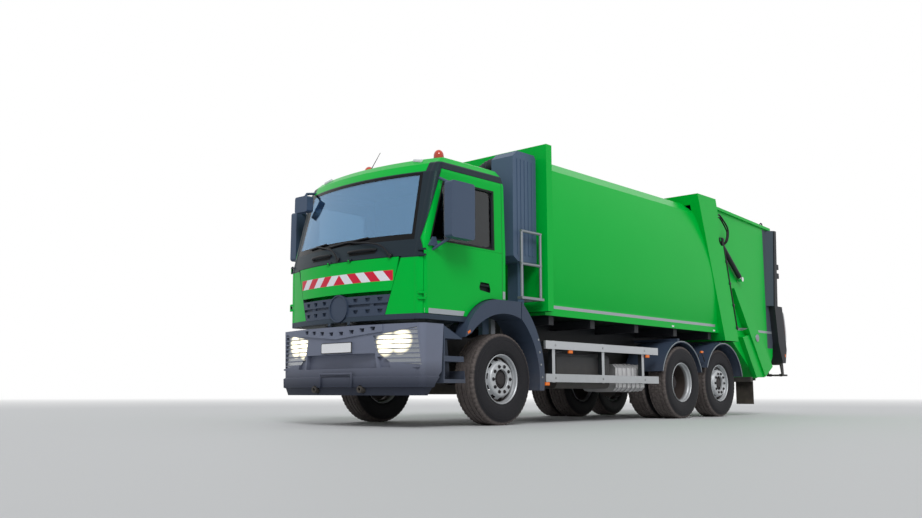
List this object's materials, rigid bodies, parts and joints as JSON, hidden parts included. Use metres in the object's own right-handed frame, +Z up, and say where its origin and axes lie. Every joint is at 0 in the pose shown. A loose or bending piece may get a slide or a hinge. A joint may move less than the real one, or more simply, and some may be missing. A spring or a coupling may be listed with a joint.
{
  "type": "garbage truck",
  "caption": "Rear-loading garbage truck with day cab, hollow load body, lifting tailgate, packing blade and bin lifter.",
  "frame": {"origin": "on the ground under the middle of the truck's length and width", "axes": "+X forwards, +Y to the truck's left, +Z up"},
  "size_m": [9.611, 2.82, 3.552],
  "materials": {
    "body_green": "gloss",
    "dark_plastic": "matte",
    "grey_paint": "satin",
    "frame_steel": "satin",
    "tyre_rubber": "matte",
    "wheel_silver": "satin",
    "cast_dark": "rough",
    "lamp_lens": "clear",
    "window_glass": "tinted",
    "alloy_rail": "satin",
    "stainless": "brushed",
    "beacon_amber": "gloss",
    "seat_fabric": "matte",
    "chrome_rod": "polished",
    "flap_rubber": "matte"
  },
  "bodies": {
    "chassis": {"chassis_frame": "frame_steel", "tow_sockets": "frame_steel", "engine_and_drive": "cast_dark", "suspension": "frame_steel", "front_axle": "cast_dark", "tag_axle": "cast_dark", "drive_axle": "cast_dark", "bumper": "dark_plastic", "headlamps": "lamp_lens", "entry_steps": "dark_plastic", "mudguards": "dark_plastic", "side_guards": "alloy_rail", "silencer": "stainless", "fuel_tanks": "frame_steel", "air_stack": "dark_plastic", "handrail": "frame_steel", "load_body": "body_green", "rear_bar": "frame_steel", "mud_flaps": "flap_rubber"},
    "cab": {"cab_shell": "body_green", "windscreen": "window_glass", "grille": "dark_plastic", "cab_wings": "dark_plastic", "front_mirror": "dark_plastic", "beacons": "beacon_amber", "seats": "seat_fabric", "dashboard": "dark_plastic"},
    "front_flap": {"front_flap": "body_green"},
    "door_left": {"door_left": "body_green", "door_glass_left": "window_glass", "mirror_left": "dark_plastic"},
    "door_right": {"door_right": "body_green", "door_glass_right": "window_glass", "mirror_right": "dark_plastic"},
    "knuckle_front_left": {"knuckle_front_left": "cast_dark"},
    "knuckle_front_right": {"knuckle_front_right": "cast_dark"},
    "wheel_front_left": {"tyre_front_left": "tyre_rubber", "rim_front_left": "wheel_silver"},
    "wheel_front_right": {"tyre_front_right": "tyre_rubber", "rim_front_right": "wheel_silver"},
    "wheels_drive_left": {"tyres_drive_left": "tyre_rubber", "rim_drive_left": "wheel_silver"},
    "wheels_drive_right": {"tyres_drive_right": "tyre_rubber", "rim_drive_right": "wheel_silver"},
    "knuckle_tag_left": {"knuckle_tag_left": "cast_dark"},
    "knuckle_tag_right": {"knuckle_tag_right": "cast_dark"},
    "wheel_tag_left": {"tyre_tag_left": "tyre_rubber", "rim_tag_left": "wheel_silver"},
    "wheel_tag_right": {"tyre_tag_right": "tyre_rubber", "rim_tag_right": "wheel_silver"},
    "tailgate": {"tailgate": "body_green", "tail_lamps": "grey_paint", "step_frames": "grey_paint"},
    "lift_barrels": {"lift_barrels": "frame_steel"},
    "lift_rods": {"lift_rods": "chrome_rod"},
    "packer_carriage": {"packer_carriage": "frame_steel"},
    "packer_blade": {"packer_blade": "frame_steel"},
    "bin_lifter": {"bin_lifter": "grey_paint"},
    "rear_step_left": {"rear_step_left": "grey_paint"},
    "rear_step_right": {"rear_step_right": "grey_paint"}
  },
  "joints": [
    {"name": "cab_tilt", "type": "hinge", "parent": "chassis", "child": "cab", "pos_m": [4.744, 0, 1.136], "axis": [0, 1, 0], "range_deg": [0, 60]},
    {"name": "door_left_hinge", "type": "hinge", "parent": "cab", "child": "door_left", "pos_m": [4.55, 1.162, 1.8], "axis": [0, 0, -1], "range_deg": [0, 70]},
    {"name": "door_right_hinge", "type": "hinge", "parent": "cab", "child": "door_right", "pos_m": [4.55, -1.162, 1.8], "axis": [0, 0, 1], "range_deg": [0, 70]},
    {"name": "flap_hinge", "type": "hinge", "parent": "cab", "child": "front_flap", "pos_m": [4.782, 0, 1.85], "axis": [0, -1, 0], "range_deg": [0, 75]},
    {"name": "steer_front_left", "type": "hinge", "parent": "chassis", "child": "knuckle_front_left", "pos_m": [3.244, 0.88, 0.53], "axis": [0, 0, 1], "range_deg": [-40, 40]},
    {"name": "roll_front_left", "type": "hinge", "parent": "knuckle_front_left", "child": "wheel_front_left", "pos_m": [3.244, 1.0075, 0.53], "axis": [0, 1, 0], "continuous": true},
    {"name": "steer_tag_left", "type": "hinge", "parent": "chassis", "child": "knuckle_tag_left", "pos_m": [-2.206, 0.88, 0.53], "axis": [0, 0, 1], "range_deg": [-14, 14]},
    {"name": "roll_tag_left", "type": "hinge", "parent": "knuckle_tag_left", "child": "wheel_tag_left", "pos_m": [-2.206, 1.0075, 0.53], "axis": [0, 1, 0], "continuous": true},
    {"name": "roll_drive_left", "type": "hinge", "parent": "chassis", "child": "wheels_drive_left", "pos_m": [-0.856, 0.902, 0.53], "axis": [0, 1, 0], "continuous": true},
    {"name": "steer_front_right", "type": "hinge", "parent": "chassis", "child": "knuckle_front_right", "pos_m": [3.244, -0.88, 0.53], "axis": [0, 0, 1], "range_deg": [-40, 40]},
    {"name": "roll_front_right", "type": "hinge", "parent": "knuckle_front_right", "child": "wheel_front_right", "pos_m": [3.244, -1.0075, 0.53], "axis": [0, 1, 0], "continuous": true},
    {"name": "steer_tag_right", "type": "hinge", "parent": "chassis", "child": "knuckle_tag_right", "pos_m": [-2.206, -0.88, 0.53], "axis": [0, 0, 1], "range_deg": [-14, 14]},
    {"name": "roll_tag_right", "type": "hinge", "parent": "knuckle_tag_right", "child": "wheel_tag_right", "pos_m": [-2.206, -1.0075, 0.53], "axis": [0, 1, 0], "continuous": true},
    {"name": "roll_drive_right", "type": "hinge", "parent": "chassis", "child": "wheels_drive_right", "pos_m": [-0.856, -0.902, 0.53], "axis": [0, 1, 0], "continuous": true},
    {"name": "tailgate_hinge", "type": "hinge", "parent": "chassis", "child": "tailgate", "pos_m": [-2.151, 0, 3.52], "axis": [0, 1, 0], "range_deg": [0, 75]},
    {"name": "lift_barrel_pivot", "type": "hinge", "parent": "chassis", "child": "lift_barrels", "pos_m": [-2.268, 0, 2.85], "axis": [0, 1, 0], "range_deg": [0, 82.5]},
    {"name": "lift_rod_slide", "type": "slide", "parent": "lift_barrels", "child": "lift_rods", "axis": [-0.7903, 0, -0.6128], "range_m": [0, 0.8211]},
    {"name": "carriage_slide", "type": "slide", "parent": "tailgate", "child": "packer_carriage", "axis": [-0.2591, 0, -0.9658], "range_m": [0, 0.65]},
    {"name": "blade_hinge", "type": "hinge", "parent": "packer_carriage", "child": "packer_blade", "pos_m": [-2.956, 0, 2.25], "axis": [0, 1, 0], "range_deg": [-25, 45]},
    {"name": "lifter_hinge", "type": "hinge", "parent": "tailgate", "child": "bin_lifter", "pos_m": [-4.411, 0, 1.235], "axis": [0, 1, 0], "range_deg": [0, 130]},
    {"name": "rear_step_left_hinge", "type": "hinge", "parent": "tailgate", "child": "rear_step_left", "pos_m": [-4.566, 1.05, 0.69], "axis": [0, 1, 0], "range_deg": [0, 60]},
    {"name": "rear_step_right_hinge", "type": "hinge", "parent": "tailgate", "child": "rear_step_right", "pos_m": [-4.566, -1.05, 0.69], "axis": [0, 1, 0], "range_deg": [0, 60]}
  ],
  "couplings": [
    {"joint": "steer_front_right", "follows": "steer_front_left", "ratio": 1},
    {"joint": "steer_tag_left", "follows": "steer_front_left", "ratio": -0.35},
    {"joint": "steer_tag_right", "follows": "steer_front_left", "ratio": -0.35},
    {"joint": "lift_barrel_pivot", "follows": "tailgate_hinge", "ratio": 1.1},
    {"joint": "lift_rod_slide", "follows": "tailgate_hinge", "m_per_rad": 0.62727}
  ]
}
